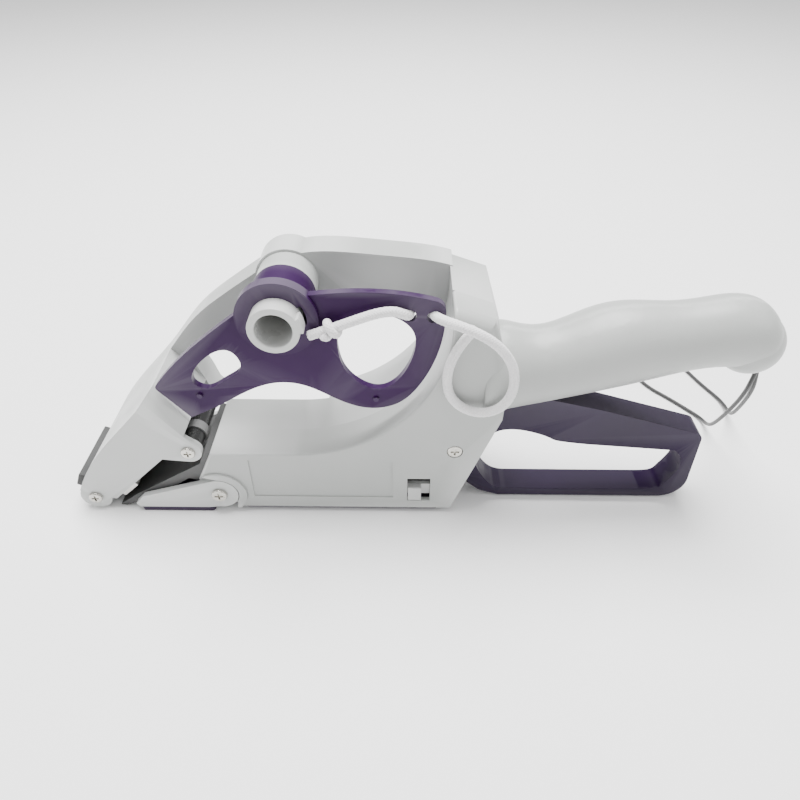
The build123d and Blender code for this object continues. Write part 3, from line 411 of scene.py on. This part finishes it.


# each finish's edge setting sets the strength of a painted highlight on its convex edges
finishes = {
    "casingWhite": {
        "nodes": ["near_shell", "far_shell", "arch_cover", "nose_cover", "gate_arm_near", "gate_arm_far"],
        "skin": {
            "Colour": (0.40, 0.41, 0.40, 1),
            "Drift Colour": (0.375, 0.388, 0.375, 1),
            "Grain Scale": 3200.0,
            "Grain": 0.10,
            "Gloss Low": 0.30,
            "Gloss High": 0.42,
            "Edge Highlight": 0.25,
        },
        "shader": {"Specular IOR Level": 0.45},
    },
    "tubeWhite": {
        "nodes": ["spindle_tube", "latch_tab"],
        "skin": {
            "Colour": (0.52, 0.52, 0.51, 1),
            "Drift Colour": (0.47, 0.48, 0.47, 1),
            "Grain Scale": 3000.0,
            "Grain": 0.06,
            "Gloss Low": 0.24,
            "Gloss High": 0.36,
            "Edge Highlight": 0.2,
        },
    },
    "guideAubergine": {
        "nodes": ["roll_guide"],
        "skin": {
            "Colour": (0.026, 0.004, 0.046, 1),
            "Drift Colour": (0.020, 0.003, 0.036, 1),
            "Grain Scale": 2600.0,
            "Grain": 0.18,
            "Gloss Low": 0.34,
            "Gloss High": 0.48,
            "Edge Highlight": 0.06,
        },
        "shader": {"Specular IOR Level": 0.16},
    },
    "triggerAubergine": {
        "nodes": ["trigger"],
        "skin": {
            "Colour": (0.012, 0.002, 0.026, 1),
            "Drift Colour": (0.009, 0.002, 0.019, 1),
            "Grain Scale": 2400.0,
            "Grain": 0.22,
            "Gloss Low": 0.38,
            "Gloss High": 0.54,
            "Edge Highlight": 0.05,
        },
        "shader": {"Specular IOR Level": 0.08},
    },
    "basePurple": {
        "nodes": ["base_plate", "gate_plate"],
        "skin": {
            "Colour": (0.020, 0.006, 0.034, 1),
            "Drift Colour": (0.015, 0.005, 0.026, 1),
            "Grain Scale": 2400.0,
            "Grain": 0.2,
            "Gloss Low": 0.4,
            "Gloss High": 0.55,
            "Edge Highlight": 0.05,
        },
        "shader": {"Specular IOR Level": 0.16},
    },
    "chuteBlack": {
        "nodes": ["label_chute"],
        "skin": {
            "Colour": grey(0.013),
            "Drift Colour": grey(0.009),
            "Grain Scale": 2400.0,
            "Grain": 0.15,
            "Gloss Low": 0.3,
            "Gloss High": 0.45,
            "Edge Highlight": 0.04,
        },
    },
    "rollerRubber": {
        "nodes": ["nose_roller", "drive_roller", "gate_roller", "press_pad"],
        "skin": {
            "Colour": grey(0.014),
            "Drift Colour": grey(0.022),
            "Grain Scale": 1800.0,
            "Grain": 0.5,
            "Gloss Low": 0.6,
            "Gloss High": 0.8,
            "Edge Highlight": 0.03,
        },
    },
    "rollerPlastic": {
        "nodes": ["web_roller", "press_roller"],
        "skin": {
            "Colour": grey(0.012),
            "Drift Colour": grey(0.018),
            "Grain Scale": 2400.0,
            "Grain": 0.1,
            "Gloss Low": 0.22,
            "Gloss High": 0.34,
            "Edge Highlight": 0.04,
        },
    },
    "ringRubber": {
        "nodes": ["web_roller_ring"],
        "skin": {
            "Colour": grey(0.12),
            "Drift Colour": grey(0.09),
            "Grain Scale": 1800.0,
            "Grain": 0.4,
            "Gloss Low": 0.5,
            "Gloss High": 0.7,
            "Edge Highlight": 0.04,
        },
    },
    "worksPlastic": {
        "nodes": ["feed_slide", "slide_guide", "feed_pawl", "ratchet_wheel", "shaft_bushes"],
        "skin": {
            "Colour": (0.62, 0.61, 0.56, 1),
            "Drift Colour": (0.56, 0.55, 0.5, 1),
            "Grain Scale": 2600.0,
            "Grain": 0.12,
            "Gloss Low": 0.3,
            "Gloss High": 0.45,
            "Edge Highlight": 0.15,
        },
        "shader": {"Subsurface Weight": 0.05, "Subsurface Scale": 0.001},
    },
    "screwSteel": {
        "nodes": [
            "nose_screws",
            "gate_pivot_screws",
            "case_screw_near",
            "case_screws_far",
            "trigger_pin",
            "drive_pin",
            "pawl_pin",
            "drive_shaft",
            "press_axle",
            "nose_roller_axle",
            "web_roller_axle",
            "gate_axle",
            "peel_bar",
        ],
        "skin": {
            "Colour": (0.60, 0.58, 0.53, 1),
            "Drift Colour": (0.44, 0.43, 0.40, 1),
            "Grain Scale": 3000.0,
            "Grain": 0.25,
            "Gloss Low": 0.18,
            "Gloss High": 0.36,
            "Edge Highlight": 0.3,
        },
        "shader": {"Metallic": 1.0},
    },
    "springSteel": {
        "nodes": ["trigger_spring"],
        "skin": {
            "Colour": grey(0.42),
            "Drift Colour": grey(0.34),
            "Grain Scale": 3000.0,
            "Grain": 0.2,
            "Gloss Low": 0.22,
            "Gloss High": 0.34,
            "Edge Highlight": 0.1,
        },
        "shader": {"Metallic": 1.0},
    },
}
for finishName, settings in finishes.items():
    material = skinMaterial(finishName, settings)
    for nodeName in settings["nodes"]:
        for slot in nodes[nodeName].material_slots:
            slot.material = material
print("plastic, rubber and steel finishes set")

fibreSettings = {
    "ropeWhite": {
        "pieces": [ropeTail, ropeLoop, knot],
        "slot": "rope_white",
        "light": (0.86, 0.85, 0.85, 1),
        "dark": (0.62, 0.61, 0.62, 1),
        "scale": 3500.0,
        "bump": 0.35,
        "roughness": 0.82,
        "sheen": 0.35,
    },
    "strapBlack": {
        "pieces": [strap],
        "slot": "strap_black",
        "light": grey(0.016),
        "dark": grey(0.006),
        "scale": 2600.0,
        "bump": 0.5,
        "roughness": 0.55,
        "sheen": 0.15,
    },
}


def fibreMaterial(name, settings):
    # fine yarn fibres in colour and relief
    material = bpy.data.materials.new(name)
    material.use_nodes = True
    tree = material.node_tree
    link = tree.links.new
    shader = tree.nodes["Principled BSDF"]
    shader.inputs["Roughness"].default_value = settings["roughness"]
    shader.inputs["Sheen Weight"].default_value = settings["sheen"]
    place = addNode(tree, "ShaderNodeTexCoord")
    noise = {"Scale": settings["scale"], "Detail": 4.0, "Distortion": 0.8}
    fibres = addNode(tree, "ShaderNodeTexNoise", noise)
    tone = addNode(tree, "ShaderNodeMix", {6: settings["dark"], 7: settings["light"]}, data_type="RGBA")
    spread = addNode(tree, "ShaderNodeMapRange", {"From Min": 0.3, "From Max": 0.6})
    bump = addNode(tree, "ShaderNodeBump", {"Strength": settings["bump"], "Distance": 0.0001})
    link(place.outputs["Object"], fibres.inputs["Vector"])
    link(fibres.outputs["Fac"], spread.inputs["Value"])
    link(spread.outputs["Result"], tone.inputs["Factor"])
    link(fibres.outputs["Fac"], bump.inputs["Height"])
    link(tone.outputs[2], shader.inputs["Base Color"])
    link(bump.outputs["Normal"], shader.inputs["Normal"])
    return material


for fibreName, settings in fibreSettings.items():
    material = fibreMaterial(fibreName, settings)
    for piece in settings["pieces"]:
        piece.data.materials.append(material)
print("cord finishes set")

# soft moulded edges

edgeWidths = {
    "near_shell": 0.0005,
    "far_shell": 0.0006,
    "nose_cover": 0.0006,
    "gate_arm_near": 0.0005,
    "gate_arm_far": 0.0005,
    "roll_guide": 0.0004,
    "trigger": 0.0009,
    "base_plate": 0.0004,
    "gate_plate": 0.0004,
    "spindle_tube": 0.0004,
    "latch_tab": 0.0003,
}
edgeSettings = {
    "mergeAngle": 0.4,  # degrees; flat triangles become one face
    "segments": 3,
    "sharpAngle": 38,
    "faceWeight": 80,
}
for nodeName, width in edgeWidths.items():
    modifiers = nodes[nodeName].modifiers
    merged = modifiers.new("flatFaces", "DECIMATE")
    merged.decimate_type = "DISSOLVE"
    merged.angle_limit = math.radians(edgeSettings["mergeAngle"])
    bevel = modifiers.new("softEdge", "BEVEL")
    bevel.width = width
    bevel.segments = edgeSettings["segments"]
    bevel.limit_method = "ANGLE"
    bevel.angle_limit = math.radians(edgeSettings["sharpAngle"])
    bevel.use_clamp_overlap = True
    weighted = modifiers.new("evenShading", "WEIGHTED_NORMAL")
    weighted.keep_sharp = True
    weighted.weight = edgeSettings["faceWeight"]
print("edges softened")

# floor and light

stageSettings = {
    "floorSize": 8.0,
    "floorColour": (0.95, 0.95, 0.95, 1),
    "worldColour": (1.0, 1.0, 1.0, 1),
    "worldStrength": 0.78,
    "floorRoughness": 0.9,
}
lightSettings = {
    "overhead": {"place": (0.0, 0.25, 1.1), "aim": (0.05, 0.0, 0.05), "size": 0.9, "power": 40.0},
    "leftFill": {"place": (-0.9, -0.5, 0.6), "aim": (0.0, 0.0, 0.05), "size": 0.7, "power": 2.0},
    "rightFill": {"place": (0.9, -0.3, 0.7), "aim": (0.05, 0.0, 0.05), "size": 0.7, "power": 2.2},
}


def makeStage(settings):
    half = settings["floorSize"] / 2
    corners = [(-half, -half, 0), (half, -half, 0), (half, half, 0), (-half, half, 0)]
    floor = meshObject("floor", [Vector(c) for c in corners], [(0, 1, 2, 3)])
    material = bpy.data.materials.new("floorPaper")
    material.use_nodes = True
    shader = material.node_tree.nodes["Principled BSDF"]
    shader.inputs["Base Color"].default_value = settings["floorColour"]
    shader.inputs["Roughness"].default_value = settings["floorRoughness"]
    floor.data.materials.append(material)
    world = bpy.data.worlds.new("studio")
    world.use_nodes = True
    background = world.node_tree.nodes["Background"]
    background.inputs["Color"].default_value = settings["worldColour"]
    background.inputs["Strength"].default_value = settings["worldStrength"]
    bpy.context.scene.world = world


def makeLight(name, settings):
    data = bpy.data.lights.new(name, "AREA")
    data.shape = "DISK"
    data.size = settings["size"]
    data.energy = settings["power"]
    light = bpy.data.objects.new(name, data)
    light.location = settings["place"]
    aim = Vector(settings["aim"]) - Vector(settings["place"])
    light.rotation_euler = aim.to_track_quat("-Z", "Y").to_euler()
    bpy.context.collection.objects.link(light)


makeStage(stageSettings)
for lightName, settings in lightSettings.items():
    makeLight(lightName, settings)
print("stage and light ready")
